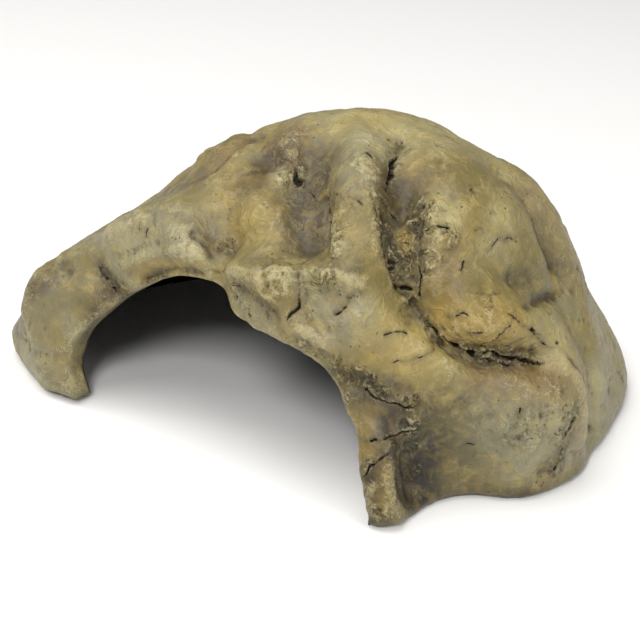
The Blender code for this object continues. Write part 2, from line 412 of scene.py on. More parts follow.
# Sharp valleys: places, half width, depth
CREASES = [
    ([(-110, 49), (-107, 48.5), (-104, 48.2), (-101, 47)], 0.9, 1.1),
    ([(-69.5, 66), (-68, 62.5), (-66.3, 60), (-65.2, 56.5), (-65.5, 53.5)], 1.2, 1.6),
    ([(-53.4, 44.3), (-55.3, 43), (-57.1, 41.9), (-60.5, 40.7)], 0.9, 1.1),
    ([(-137, 29.5), (-133, 28.5), (-129.5, 27)], 1.2, 1.2),
    ([(-10, 37), (-6, 37.5), (0, 36.5), (6, 35)], 0.8, 1.0),
    ([(-44.6, 61), (-46.7, 56), (-46.8, 52), (-43.9, 47.7), (-41, 44.8)], 1.0, 2.2),
    ([(-41, 44.8), (-38.6, 42.3), (-35.9, 36.4), (-32.5, 33.5)], 0.9, 1.2),
    ([(-35, 58), (-34.5, 54), (-36, 50), (-38, 46.5)], 1.2, 1.2),
    ([(-45.6, 15), (-46, 11), (-45.2, 6.5), (-44, 2)], 0.8, 1.6),
    ([(-8.5, 27), (-5.5, 22), (-4, 16), (0, 9), (6, 4)], 0.7, 0.9),
    ([(60, 62), (66, 48), (60, 34), (68, 20)], 1.6, 1.5),
    ([(140, 58), (132, 44), (138, 28)], 1.6, 1.5),
    ([(176, 50), (-178, 36), (174, 22)], 1.6, 1.4),
    ([(100, 40), (112, 30), (108, 16)], 1.4, 1.2),
]

# Cracks: places, half width, depth
CRACKS = [
    ([(-64.5, 54), (-67, 51.6), (-69.8, 48.3)], 0.30, 1.0),
    ([(-69.8, 49.5), (-69.6, 47.5), (-69.4, 45.5), (-69.5, 43.5)], 0.45, 1.4),
    ([(-69.5, 44.5), (-69.7, 42.1), (-70.6, 40.5), (-71.9, 39.3)], 0.32, 1.2),
    ([(-69, 65.5), (-67.6, 62), (-65.8, 59), (-64.9, 56)], 0.47, 1.4),
    ([(-53.4, 44.3), (-55.3, 43), (-57.1, 41.9), (-60.5, 40.7)], 0.22, 0.7),
    ([(-88, 69.3), (-81, 68), (-74, 66)], 0.22, 0.7),
    ([(-97.5, 71), (-93, 70), (-88.5, 69.3)], 0.79, 1.6),
    ([(-33, 36), (-30.3, 33.6), (-26.6, 31), (-24, 31), (-22, 30), (-19, 28.6), (-15.5, 27.6), (-12, 26)],
     0.43, 1.7),
    ([(-28.5, 31.8), (-25.3, 29.8), (-22, 28.8), (-18, 27.4)], 0.29, 1.0),
    ([(-26, 33), (-23.5, 33.8), (-22, 35), (-20, 35.3)], 0.25, 0.9),
    ([(-20.5, 31.5), (-18.5, 32.3), (-17, 32)], 0.25, 0.9),
    ([(-21, 37.5), (-17, 34.5), (-13, 31), (-9.3, 27.5)], 0.22, 0.7),
    ([(-32.4, 39), (-30, 39.3), (-28.3, 38.6)], 0.20, 0.6),
    ([(-28.8, 36.3), (-26.3, 35.8)], 0.20, 0.5),
    ([(-36.5, 38.5), (-35, 37), (-33.5, 35.5)], 0.43, 1.4),
    ([(-48.7, 37), (-45, 37.6), (-42.4, 37.4)], 0.20, 0.5),
    ([(-47.5, 31.9), (-42, 32.2), (-36.8, 34)], 0.18, 0.5),
    ([(-55, 27.6), (-53, 27), (-50.4, 25.6), (-46, 24), (-41.7, 22.8)], 0.29, 1.1),
    ([(-55, 17.6), (-51.5, 17), (-48, 17.5), (-44, 18.3), (-40.1, 18.5)], 0.29, 1.2),
    ([(-53, 10.5), (-51.5, 12.5), (-49.5, 14), (-47.8, 15.5)], 0.25, 0.9),
    ([(-137, 28.6), (-134, 28.2), (-131.5, 27), (-128.3, 26.3)], 0.32, 1.2),
    ([(-134.5, 30.5), (-132.5, 29.5), (-131, 28.5)], 0.22, 0.7),
    ([(-125.4, 44), (-125.6, 42.5)], 0.22, 0.5),
    ([(-122.6, 44.5), (-123, 43)], 0.22, 0.5),
    ([(-116, 44.5), (-115.5, 43)], 0.20, 0.5),
    ([(-47.5, 52), (-46, 50), (-44, 49.5)], 0.40, 1.4),
    ([(-44, 46.5), (-41.5, 46.5), (-39, 46)], 0.40, 1.4),
    ([(-37, 49.5), (-36.5, 47), (-37.5, 44.5)], 0.32, 1.1),
    ([(-50, 60.5), (-48.5, 58), (-48, 55)], 0.29, 1.0),
    ([(-46, 63), (-43, 62), (-40, 60)], 0.29, 0.9),
    ([(-33, 55.5), (-29.5, 55), (-27, 54)], 0.25, 0.8),
    ([(-21, 75.5), (-30, 74), (-34.5, 71.5), (-37, 69), (-39.5, 66.5)], 0.54, 1.6),
    ([(-28, 79.5), (-18, 79.3), (-12, 78)], 0.25, 0.8),
    ([(-15.5, 59.3), (-13.2, 59)], 0.25, 0.7),
    ([(-13.5, 54.2), (-11.5, 54)], 0.22, 0.6),
    ([(-19.5, 48), (-15, 49.5), (-10, 49), (-7.5, 47.8)], 0.18, 0.5),
    ([(-28, 46), (-26.5, 46.8), (-25.5, 48)], 0.22, 0.7),
    ([(-22, 42), (-20.5, 41), (-19, 41.3)], 0.25, 0.8),
    ([(-66, 65), (-61, 63.5), (-57.5, 61.7), (-52.9, 59.9)], 0.22, 0.6),
    ([(-51, 72), (-47.5, 70)], 0.25, 0.7),
    ([(-21.8, 20.5), (-21.6, 18.3)], 0.22, 0.6),
    ([(-33, 13), (-31, 14), (-28.5, 13)], 0.18, 0.5),
    ([(-9.8, 15.5), (-10.4, 13.5), (-12, 11.5)], 0.32, 1.0),
    ([(-12, 10), (-13, 7), (-14.2, 4.5)], 0.29, 0.9),
    ([(1, 13), (2, 8), (3, 4)], 0.22, 0.7),
    ([(-84, 39.5), (-82, 39)], 0.25, 0.7),
    ([(70, 30), (76, 34), (84, 33), (92, 37)], 0.29, 1.0),
    ([(52, 20), (58, 24), (62, 30)], 0.25, 0.9),
    ([(118, 44), (124, 40), (126, 33), (132, 28)], 0.32, 1.1),
    ([(150, 30), (158, 34), (166, 33)], 0.25, 0.9),
    ([(-176, 26), (-170, 22), (-168, 16)], 0.29, 0.9),
    ([(30, 40), (36, 36), (38, 29)], 0.25, 0.9),
    ([(92, 62), (104, 60), (112, 63)], 0.25, 0.8),
]

# Crumbling patches: bearing, climb, radius, roughness
CRUMBS = [
    (-46, 57, 5.5, 0.9), (-42, 53, 6.5, 1.0), (-42, 49.5, 4.6, 1.0),
    (-35.5, 56, 5.0, 0.95), (-34, 50, 5.0, 1.0), (-28, 58, 5.0, 0.4),
    (-40.5, 44.5, 2.8, 0.8), (-37, 40, 2.4, 0.8), (-33.2, 35.8, 2.2, 0.8),
    (-29, 33.4, 2.8, 0.9), (-25, 31, 3.6, 0.9), (-20.5, 30, 4.0, 0.8),
    (-16, 28.6, 3.5, 0.7), (-62, 57.5, 3.0, 0.9), (-60.5, 54.5, 3.6, 0.9),
    (-60, 51.5, 3.0, 0.8), (-126, 42, 7.0, 0.3), (-117, 44.5, 7.0, 0.3),
    (-107, 46, 6.0, 0.35), (-76, 45.5, 7.0, 0.4), (-63, 46.8, 6.0, 0.55),
    (-57, 45, 4.0, 0.3), (-66, 38, 5.0, 0.35), (-89, 44, 3.0, 0.6),
    (-84, 42.5, 2.6, 0.6), (-80, 41.3, 2.6, 0.6), (-67, 35.3, 3.0, 0.7),
    (-63, 34, 3.0, 0.6), (-60, 32.5, 3.5, 0.6), (-54, 30, 4.5, 0.6),
    (-105, 71, 4.5, 0.35), (-50, 69, 8.0, 0.35), (-30, 76, 8.0, 0.3),
    (-31, 59.5, 6.5, 0.75), (-29.5, 53, 5.5, 0.7), (-27, 38, 8.0, 0.25),
    (-98.5, 68.5, 3.5, 0.9), (-94, 71, 3.0, 0.6), (-131.5, 29, 3.5, 0.8),
    (-128.5, 28.5, 2.5, 0.6), (-36, 71, 3.5, 0.7), (-40, 66, 3.5, 0.6),
    (-48, 62, 3.5, 0.6), (-57, 30, 3.5, 0.7), (-52, 29, 3.5, 0.8),
    (-49, 26.5, 3.0, 0.7), (-43, 24, 3.5, 0.8), (-43, 19.5, 3.5, 0.9),
    (-42.5, 14.5, 4.0, 0.6), (-42, 8.5, 5.0, 0.45), (-41, 3.5, 4.0, 0.4),
    (-52, 13, 2.5, 0.6), (-50, 4, 3.0, 0.5), (-90, 43, 3.5, 0.7),
    (-86, 41, 3.0, 0.5), (-78, 40.5, 3.5, 0.6), (-101, 51, 3.5, 0.7),
    (-12, 12, 6.0, 0.6), (-13.5, 6, 4.5, 0.6), (-21, 16, 10.0, 0.42),
    (-27, 18, 7.0, 0.3), (-15, 20, 7.0, 0.35), (-11, 16, 5.0, 0.6),
    (-58, 60, 3.0, 0.3), (63, 50, 6.0, 0.9), (64, 40, 5.0, 0.9),
    (62, 31, 5.0, 0.7), (136, 46, 5.0, 0.9), (134, 38, 5.0, 0.8),
    (176, 40, 5.0, 0.9), (-179, 33, 4.5, 0.8), (110, 26, 5.5, 0.8),
    (40, 14, 5.0, 0.6), (-160, 30, 5.0, 0.5), (20, 30, 4.5, 0.4),
]


def rock_heights(points, surface):
    """The soft forms, as a height for each point."""
    height = np.zeros(len(points))
    edge = math.exp(-FORM_REACH ** 2)
    for places, half_width, rise in FORMS:
        gap = line_gap(points, surface.line(places, 1.5), FORM_REACH * half_width)[0]
        height += rise * (np.exp(-(gap / half_width) ** 2) - edge)
    return height


def jagged(points):
    """The points, moved by noise of three sizes, which breaks up the lines drawn on them."""
    return warped(warped(warped(points, 6.0, 0.9, 31), 2.2, 0.45, 37), 0.9, 0.16, 43)


def crack_gap(points, surface):
    """Distance from each point to the nearest crack's broken line."""
    bent = jagged(points)
    gap = np.full(len(points), FAR)
    for places, _, _ in CRACKS:
        gap = np.minimum(gap, line_gap(bent, surface.line(places), 3.0)[0])
    return gap


def carve(points, surface):
    """Creases and cracks: each point's height, how deep in them it lies and how much painted shade it
    gets along them (0 to 1).

    A crack has one lip lifted, on the left of someone who walks it."""
    bent = jagged(points)
    wide = np.maximum(1.0 + 0.7 * noise(points, 2.6, 47), 0.7)
    height = np.zeros(len(points))
    depth = np.zeros(len(points))
    # The last mask is painted shade along each crease's valley and round each crack
    crease_shade = np.zeros(len(points))
    for places, half_width, drop in CREASES:
        gap, along, _ = line_gap(bent, surface.line(places), 6 * half_width)
        ends = smooth_step(along, 0.0, 0.12) * smooth_step(1 - along, 0.0, 0.12)
        valley = np.exp(-gap / half_width) * ends
        height -= drop * valley
        depth = np.maximum(depth, 0.3 * valley)
        crease_shade = np.maximum(crease_shade, valley)
    for places, half_width, drop in CRACKS:
        gap, along, side = line_gap(bent, surface.line(places), 8 * half_width + 1.0)
        ends = smooth_step(along, -0.02, 0.15) * smooth_step(1 - along, -0.02, 0.15)
        gap = gap / (wide * np.sqrt(ends) + 0.05)
        slot = smooth_step(gap, 1.3 * half_width, 0.2 * half_width) * ends
        lip = np.exp(-((gap - 2.4 * half_width) / (1.4 * half_width)) ** 2) * ends * (side > 0)
        height += 0.28 * drop * lip - drop * slot
        depth = np.maximum(depth, slot)
        crease_shade = np.maximum(crease_shade, ends * np.exp(-(gap / (3.0 * half_width + 0.3)) ** 2))
    return height, depth, crease_shade


def crumble(points, surface):
    """Rough broken patches: each point's height, how far in a patch it is, and its gaps (0 to 1)."""
    patch = np.zeros(len(points))
    edge = 1.0 + 0.35 * noise(points, 4.0, 51)
    for bearing, climb, radius, roughness in CRUMBS:
        gap = np.linalg.norm(points - surface.spot(bearing, climb), axis=1) * edge
        patch = np.maximum(patch, roughness * smooth_step(gap, radius, 0.45 * radius))
    near = np.nonzero(patch > 0)[0]
    bent = warped(warped(points[near], 5.0, 1.6, 57), 1.6, 0.35, 59) @ CHIP_STRETCH
    folds = crinkled(bent, 4.2, 71, 4)
    chips = shards(bent, 2.7, 73)[0]
    gaps = smooth_step(folds, 0.34, 0.16)
    rise = 1.7 * (folds - 0.5) + 0.42 * chips - 0.5 * gaps
    height = np.zeros(len(points))
    height[near] = patch[near] * rise
    pit = np.zeros(len(points))
    pit[near] = patch[near] * np.maximum(gaps, 0.8 * smooth_step(rise, -0.35, -0.95))
    return height, patch, pit


def skin(points):
    """The whole rock's own unevenness, from broad swells down to tool marks, and its pits."""
    height = 0.6 * fractal(points, 26.0, 101, 2)
    height += 0.42 * fractal(warped(points, 9.0, 2.5, 113), 9.0, 117, 4, 0.52)
    cover = smooth_step(noise(points, 17.0, 127), -0.35, 0.45)
    folds = crinkled(warped(points, 6.0, 2.2, 121) @ CHIP_STRETCH, 7.0, 123, 3)
    height += (0.15 + 0.85 * cover) * 0.65 * (folds - 0.55)
    dents = shards(warped(points, 5.0, 1.2, 161), 6.5, 163)[1]
    height -= 0.35 * smooth_step(dents, 0.50, 0.15) * smooth_step(noise(points, 12.0, 167), -0.1, 0.4)
    scar = np.abs(noise(warped(points, 8.0, 3.0, 151), 10.0, 153))
    height -= 0.42 * smooth_step(scar, 0.045, 0.0) * smooth_step(noise(points, 9.0, 157), 0.1, 0.4)
    near = shards(warped(points, 3.0, 0.8, 131), 5.5, 137)[1]
    pits = smooth_step(near, 0.15, 0.05) * smooth_step(noise(points, 22.0, 139), 0.1, 0.5)
    height -= 0.5 * pits
    return height, pits


# ---------------- the casting

def welded_copy(name, node):
    """A copy of a CAD node with its corners joined, so that the remesher sees one closed skin."""
    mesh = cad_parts[node].data.copy()
    mesh.name = name
    bm = bmesh.new()
    bm.from_mesh(mesh)
    bmesh.ops.remove_doubles(bm, verts=bm.verts, dist=1e-5)
    bm.to_mesh(mesh)
    bm.free()
    return add_object(name, mesh)


def facing(points, normals):
    """1 where the casting faces away from the foot of its axis, -1 where it faces in, 0 on its lips."""
    ways = points / np.linalg.norm(points, axis=1)[:, None]
    return np.einsum("ij,ij->i", ways, normals)


def smooth_casting(rock):
    """Remeshes the rock finely and takes off the CAD's edges."""
    remesh = rock.modifiers.new("fine", "REMESH")
    remesh.mode = "VOXEL"
    remesh.voxel_size = VOXEL * MM
    mesh = apply_modifiers(rock)

    points = rock_points(mesh)
    links = Links(mesh)
    # Near the ground the skin keeps its height and moves little
    free = np.ones(points.shape)
    free[:, 2] = smooth_step(points[:, 2], 0.2, 3.0)
    free[:, :2] = 0.3 + 0.7 * free[:, 2:]
    points = links.smooth(points, BASE_SMOOTHING, 0.5, free)
    set_rock_points(mesh, points)
    surface = Surface(mesh)

    toe = np.linalg.norm(points - surface.spot(*TOE), axis=1)
    rounded = smooth_step(toe, TOE_REACH, TOE_ROUNDED)[:, None]
    moved = smooth_step(toe, TOE_REACH, TOE_MOVED)[:, None]
    points = links.smooth(points, TOE_SMOOTHING, 0.5, free * rounded)
    points += np.array(TOE_SHIFT) * moved
    set_rock_points(mesh, points)
    return points, surface


def thin_inside(rock, points):
    """Keeps fewer faces inside, where the near-black paint also stands in for the cave's inner shade."""
    inner = np.nonzero(facing(points, vertex_array(rock.data, "normal")) < INNER_FACING)[0]
    group = rock.vertex_groups.new(name="inner")
    group.add(inner.tolist(), 1.0, "REPLACE")
    thin = rock.modifiers.new("thin", "DECIMATE")
    thin.ratio = INNER_KEPT
    thin.vertex_group = "inner"
    apply_modifiers(rock)
    rock.vertex_groups.clear()


def split_faces(mesh, near):
    """Splits the faces that have every corner marked in near."""
    bm = bmesh.new()
    bm.from_mesh(mesh)
    marked = {e for f in bm.faces if all(near[v.index] for v in f.verts) for e in f.edges}
    edges = [e for e in bm.edges if e in marked]
    bmesh.ops.subdivide_edges(bm, edges=edges, cuts=1, use_grid_fill=False)
    bmesh.ops.triangulate(bm, faces=bm.faces)
    bm.to_mesh(mesh)
    bm.free()


def refine(mesh, surface):
    """Gives the cracks and the rough patches the faces that they need."""
    points = rock_points(mesh)
    near = np.zeros(len(points), bool)
    for places, _, _ in CRACKS:
        near |= line_gap(points, surface.line(places), CRACK_BAND + 1.0)[0] < CRACK_BAND
    for bearing, climb, radius, roughness in CRUMBS:
        if roughness > ROUGH_PATCH:
            near |= np.linalg.norm(points - surface.spot(bearing, climb), axis=1) < PATCH_CORE * radius
    split_faces(mesh, near)
    split_faces(mesh, crack_gap(rock_points(mesh), surface) < CRACK_CORE)


def pushed(mesh, points, height):
    """Puts the mesh at the points, and gives them moved along its normals by the height."""
    set_rock_points(mesh, points)
    return points + vertex_array(mesh, "normal") * height[:, None]


def sculpt(mesh, surface):
    """Shapes the outside, and the inside a little, and gives the marks that the paint follows."""
    rest = rock_points(mesh)
    normals = vertex_array(mesh, "normal")
    turned = facing(rest, normals)
    outer = smooth_step(turned, -0.25, 0.25)
    above = smooth_step(rest[:, 2], 0.3, 2.5)

    points = pushed(mesh, rest, rock_heights(rest, surface) * outer * above)
    swell, pits = skin(rest)
    points = pushed(mesh, points, swell * (0.35 + 0.65 * outer) * above)
    rough, patch, holes = crumble(rest, surface)
    points = pushed(mesh, points, rough * outer * above)
    carved, depth, crease_shade = carve(rest, surface)
    points = pushed(mesh, points, carved * outer * above)

    # The rim's outer edge is rounded under, as it is after sanding
    tuck = outer * smooth_step(rest[:, 2], 3.0, 0.0) ** 2 * 0.9
    ways = rest[:, :2] / np.maximum(np.linalg.norm(rest[:, :2], axis=1), 1.0)[:, None]
    points[:, :2] -= ways * tuck[:, None]
    points[:, 2] = np.maximum(points[:, 2], 0.0)
    set_rock_points(mesh, points)
    mesh.shade_smooth()

    # The near-black paint inside also stands in for the cave's inner shade; at the front it stops at the
    # mouth's lip, where the skin no longer faces back
    front = smooth_step(-rest[:, 1], 18.0, 26.0)
    behind = mix(1.0, smooth_step(normals[:, 1], 0.15, 0.5), front)
    inside = smooth_step(-turned, 0.1, 0.45) * behind
    marks = {"patch": patch, "holes": holes, "depth": depth, "pits": pits, "crease_shade": crease_shade,
             "inside": inside}
    return rest, points, marks


# ---------------- the paint, as tables

def linear(red, green, blue):
    """A paint's colour for the shaders, from its 0 to 255 screen values."""
    values = np.array([red, green, blue]) / 255.0
    return np.where(values > 0.04045, ((values + 0.055) / 1.055) ** 2.4, values / 12.92)


PAINTS = {
    "khaki": linear(152, 138, 92),
    "olive": linear(122, 112, 74),
    "moss": linear(150, 132, 76),
    "ochre": linear(170, 144, 74),
    "orange": linear(168, 136, 72),
    "rust": linear(142, 107, 68),
    "stone": linear(146, 142, 122),
    "plum": linear(104, 91, 78),
    "umber": linear(84, 72, 50),
    # Dark paint laid as painted shade in the right leg's pit
    "pit_shade": linear(62, 60, 56),
    # Dark paint laid as painted shade in creases, cracks, pin holes, hollows and along the bottom rim
    "deep_shade": linear(52, 48, 42),
    "cream": linear(204, 194, 150),
    "blush": linear(176, 158, 124),
}

# All the tints: each channel's level, and how far lights and darks are spread from a middle
TONE = (0.625, 0.635, 0.60)
TONE_CONTRAST = 0.42
MIDDLE_LEVEL = 0.22

# Tints along a line, each over the ones before: paint, strength, half width, places. Most are the paint's
# own colours; the dark rows marked below are painted shade, and the cream rows are partly painted
# highlight
TINTS = [
    # partly painted highlight on the left brow's lit top
    ("stone", 0.6, 7.0, [(-136, 38), (-126, 42), (-117, 46), (-108, 47)]),
    ("cream", 0.3, 4.0, [(-127, 39), (-124, 42)]),
    ("cream", 0.15, 6.0, [(-135, 36), (-126, 41), (-117, 45), (-108, 46.5)]),
    ("ochre", 0.8, 1.8, [(-125, 35), (-121, 37.2), (-117, 40.3), (-110.5, 42.5), (-104, 43.6)]),
    # painted shade on the lip's turned-under face above the mouth's edge
    ("umber", 0.75, 1.6, [(-123, 34), (-118, 38), (-111, 40.8), (-104, 42)]),
    # painted shade in and round the left leg's crack
    ("plum", 0.75, 3.6, [(-135, 29), (-133, 28), (-129, 27.5)]),
    ("deep_shade", 0.4, 1.6, [(-135, 28.5), (-132, 27.5), (-128.5, 28)]),
    ("orange", 0.5, 3.5, [(-132, 24), (-130.5, 24.5)]),
    # painted shade in the left leg's outer groove
    ("plum", 0.85, 2.8, [(-149, 6), (-148, 10), (-144, 17), (-142.5, 20.5), (-142, 24)]),
    ("deep_shade", 0.5, 1.6, [(-149, 6), (-148, 10), (-144, 17)]),
    ("stone", 0.6, 3.0, [(-137, 17), (-134, 15)]),
    ("stone", 0.5, 7.0, [(-134, 2), (-139, 3), (-146, 3)]),
    ("ochre", 0.6, 3.0, [(-130, 8), (-129, 5)]),
    # painted shade down the left leg's inner side
    ("umber", 0.55, 4.0, [(-130, 25), (-129, 20), (-129, 14), (-130, 9)]),
    ("umber", 0.75, 4.5, [(-131, 27), (-132, 20), (-132.5, 13)]),
    ("stone", 0.35, 7.0, [(-139, 22), (-140, 13), (-139, 6)]),
    # partly painted shade in the valley behind the brow
    ("plum", 0.5, 4.5, [(-150, 44), (-143, 50), (-138, 56)]),
    ("rust", 0.4, 4.5, [(-146, 66), (-137, 61), (-134, 56)]),
    # painted shade in the pit at the brow's end
    ("plum", 0.6, 4.0, [(-107, 50), (-103, 50), (-100, 51)]),
    ("deep_shade", 0.3, 2.5, [(-104, 50), (-101.5, 50.5)]),
    ("khaki", 0.5, 6.0, [(-118, 57), (-108, 55), (-100, 55)]),
    ("ochre", 0.6, 7.0, [(-108, 61), (-100, 60), (-94, 56)]),
    ("rust", 0.45, 4.0, [(-116, 63), (-108, 65)]),
    ("umber", 0.5, 5.0, [(-113, 64.5), (-107, 63)]),
    ("rust", 0.85, 6.0, [(-118, 74.5), (-108, 73.5)]),
    ("umber", 0.45, 4.5, [(-114, 74), (-106, 73)]),
    ("umber", 0.5, 6.0, [(-100, 77), (-90, 76), (-82, 73)]),
    # partly painted highlight across the dome's top
    ("cream", 0.35, 11.0, [(-90, 86), (-20, 85), (12, 76), (12, 68)]),
    # painted shade in the upper hollow
    ("deep_shade", 0.65, 3.6, [(-118, 69), (-112, 69), (-107, 69)]),
    ("cream", 0.75, 1.8, [(-105, 69), (-99, 67.5), (-94, 67)]),
    # partly painted shade in the trough between the upper-left flank and the middle ridge
    ("umber", 0.85, 5.5, [(-84, 67), (-78, 64), (-74, 60), (-70, 56)]),
    ("plum", 0.35, 5.0, [(-82, 64), (-76, 59)]),
    # painted shade along the crack above the trough
    ("umber", 0.7, 5.0, [(-80, 74), (-72, 70), (-67, 66)]),
    # painted shade along the crease
    ("umber", 0.45, 2.5, [(-68, 53), (-66, 57), (-68, 62)]),
    ("orange", 0.7, 4.0, [(-63, 62), (-60.5, 58)]),
    ("moss", 0.8, 6.0, [(-57, 66), (-55, 60), (-55, 53)]),
    ("olive", 0.5, 7.0, [(-59, 66), (-57, 60), (-57, 53)]),
    ("moss", 0.7, 5.0, [(-46, 66), (-49, 60), (-49, 53), (-47, 48)]),
    ("cream", 0.7, 1.6, [(-62, 59), (-61.5, 55), (-60, 52)]),
    # painted shade in the hollow just above the right brow's crest
    ("umber", 0.45, 2.4, [(-68, 50.2), (-62, 50), (-56, 49)]),
    ("stone", 0.6, 8.0, [(-48, 75), (-52, 68)]),
    ("cream", 0.35, 6.0, [(-42, 76), (-46, 70), (-40, 72)]),
    ("ochre", 0.7, 5.0, [(-25, 68), (-27.5, 65)]),
    ("rust", 0.6, 5.0, [(-42, 67), (-31, 66.5)]),
    # painted shade in the central crevice
    ("umber", 0.8, 4.0, [(-38, 64), (-33, 62), (-36, 59)]),
    ("plum", 0.4, 4.0, [(-47, 65), (-40, 64)]),
    ("olive", 0.6, 11.0, [(-10, 62), (-16, 54), (-20, 50)]),
    ("ochre", 0.5, 8.0, [(-19, 62), (-22, 54)]),
    # painted shade in the central crevice
    ("umber", 0.7, 5.0, [(-43, 57), (-43, 52), (-41.5, 48)]),
    ("umber", 0.8, 4.5, [(-38, 58), (-37.5, 51)]),
    ("deep_shade", 0.35, 3.0, [(-45, 55), (-44.5, 50), (-42, 46)]),
    ("moss", 0.7, 6.0, [(-29, 53), (-31, 46), (-25, 46)]),
    ("umber", 0.4, 4.0, [(-34, 43.5), (-27, 41.5)]),
    ("cream", 0.5, 4.0, [(-27.5, 60), (-27.5, 57), (-29, 54)]),
    ("cream", 0.4, 2.4, [(-33, 51), (-34, 48)]),
    # painted shade at the crevice's top
    ("umber", 0.5, 4.5, [(-41, 67), (-31, 66), (-35, 61.5)]),
    ("olive", 0.4, 6.0, [(-24, 64), (-19, 62)]),
    ("rust", 0.4, 4.0, [(-30, 50), (-32, 46), (-34, 42)]),
    ("ochre", 0.8, 1.8, [(-40, 56), (-39.5, 54)]),
    # painted shadow in the hollow under the right dome
    ("deep_shade", 0.35, 4.0, [(-11.5, 42), (-9.5, 41.5)]),
    ("khaki", 0.7, 7.0, [(-18, 47), (-13, 49), (-8, 52)]),
    ("cream", 0.3, 4.0, [(-14, 49), (-10, 53)]),
    ("ochre", 0.85, 6.5, [(-33, 38), (-26, 37), (-19, 35.5)]),
    ("cream", 0.4, 4.0, [(-16, 33), (-9, 31), (-7, 26)]),
    ("orange", 0.5, 4.0, [(-33, 38), (-27, 36), (-20, 34.5)]),
    # partly painted shade under the orange brow's overhang, and painted shade in its crack
    ("rust", 0.7, 5.5, [(-26, 27), (-20, 25), (-15, 23.5)]),
    ("deep_shade", 0.6, 2.6, [(-30, 33.6), (-25.5, 30.8), (-19, 28.6)]),
    ("cream", 0.5, 3.2, [(-38, 34), (-35, 31.2), (-32.5, 29.5)]),
    ("khaki", 0.5, 4.5, [(-68, 49), (-62, 48.5), (-60, 43)]),
    ("cream", 0.5, 2.6, [(-58.5, 44.5), (-56, 42.5)]),
    ("stone", 0.6, 4.0, [(-65, 43.5), (-60, 42.5), (-57, 40)]),
    ("blush", 0.5, 2.6, [(-73, 40), (-67, 38), (-62, 36)]),
    ("ochre", 0.4, 6.0, [(-78, 42), (-74, 40)]),
    ("moss", 0.8, 5.5, [(-42, 46), (-41, 41), (-38, 36), (-35, 31)]),
    ("cream", 0.3, 5.0, [(-48, 40), (-42, 38), (-38, 32)]),
    ("khaki", 0.7, 2.6, [(-40.5, 45), (-38.5, 43)]),
    ("ochre", 0.5, 7.0, [(-46, 36), (-42, 33), (-42, 28)]),
    ("stone", 0.6, 3.0, [(-90, 43), (-84, 40), (-78, 38)]),
    # painted shade in the hollow along the right brow's lower edge
    ("deep_shade", 0.45, 1.6, [(-89.5, 44), (-84, 42.5), (-79, 41.2)]),
    # painted shade in and round the right leg's cracks and down its front, with ochre between
    ("umber", 0.9, 4.0, [(-58, 28), (-52, 27), (-48, 26.5)]),
    ("plum", 0.85, 5.0, [(-52, 22), (-47, 21), (-43, 22)]),
    ("plum", 0.7, 5.0, [(-50, 16), (-45, 19), (-41, 19), (-39, 14)]),
    ("umber", 0.5, 5.0, [(-51, 9), (-51, 3)]),
    ("deep_shade", 0.7, 3.8, [(-46, 19.5), (-40.5, 19.5)]),
    ("ochre", 0.6, 2.4, [(-49, 13), (-49.5, 9), (-50, 5)]),
    ("umber", 0.8, 5.0, [(-50, 16), (-50.5, 3)]),
    ("ochre", 0.5, 1.6, [(-49.5, 13), (-49.5, 9), (-50, 5)]),
    ("umber", 0.65, 3.0, [(-52.5, 12), (-52.5, 6), (-51, 2)]),
    ("ochre", 0.6, 3.0, [(-53, 22), (-53, 15)]),
    # painted shade beside the right leg
    ("olive", 0.75, 8.0, [(-36, 21), (-35, 14), (-33, 8)]),
    ("umber", 0.35, 7.0, [(-37, 18), (-36, 10)]),
    # painted shade in the right leg's pit
    ("pit_shade", 1.0, 4.0, [(-44.2, 14), (-44.5, 9), (-43, 4)]),
    ("pit_shade", 1.0, 4.2, [(-41, 14), (-40.8, 9), (-40.3, 4)]),
    ("pit_shade", 0.8, 5.0, [(-42.6, 14), (-42.6, 9), (-41.6, 4)]),
    ("stone", 0.85, 9.0, [(-24, 17), (-18, 13), (-13, 12)]),
    ("cream", 0.25, 7.0, [(-19, 17), (-14, 10)]),
    ("stone", 0.7, 7.0, [(8, 14), (6, 7), (-2, 8)]),
    ("cream", 0.35, 6.0, [(8, 13), (6, 6)]),
    # painted shade along the bottom rim
    ("umber", 0.5, 3.0, [(-38, 1), (-30, 0.5), (-22, 0.5), (-14, 1)]),
    ("deep_shade", 0.5, 2.2, [(-24, 0.5), (-19, 0.5)]),
    # painted shade along the cracks low on the right
    ("umber", 0.5, 3.0, [(-11.5, 12), (-13.5, 6)]),
    ("blush", 0.5, 4.0, [(-9, 26), (-7, 22), (-6, 16), (-6, 8)]),
    # painted shade in the back-right groove
    ("plum", 0.6, 4.0, [(13, 54), (8, 46), (9, 40)]),
    ("ochre", 0.8, 2.0, [(6, 38.5), (6, 36.5)]),
    ("blush", 0.5, 8.0, [(22, 50), (24, 42)]),
    ("orange", 0.4, 5.0, [(14, 33)]),
    ("stone", 0.4, 8.0, [(20, 14), (17, 6)]),
    ("ochre", 0.6, 9.0, [(52, 40), (56, 30)]),
    ("stone", 0.6, 11.0, [(80, 22), (96, 20)]),
    ("orange", 0.5, 8.0, [(104, 52), (114, 50)]),
    ("rust", 0.5, 7.0, [(134, 38), (138, 26)]),
    ("stone", 0.5, 12.0, [(158, 20), (172, 18)]),
    ("ochre", 0.5, 9.0, [(164, 52), (176, 56)]),
    ("cream", 0.4, 7.0, [(96, 68), (60, 72)]),
    ("plum", 0.5, 7.0, [(-172, 34), (-168, 24)]),
]


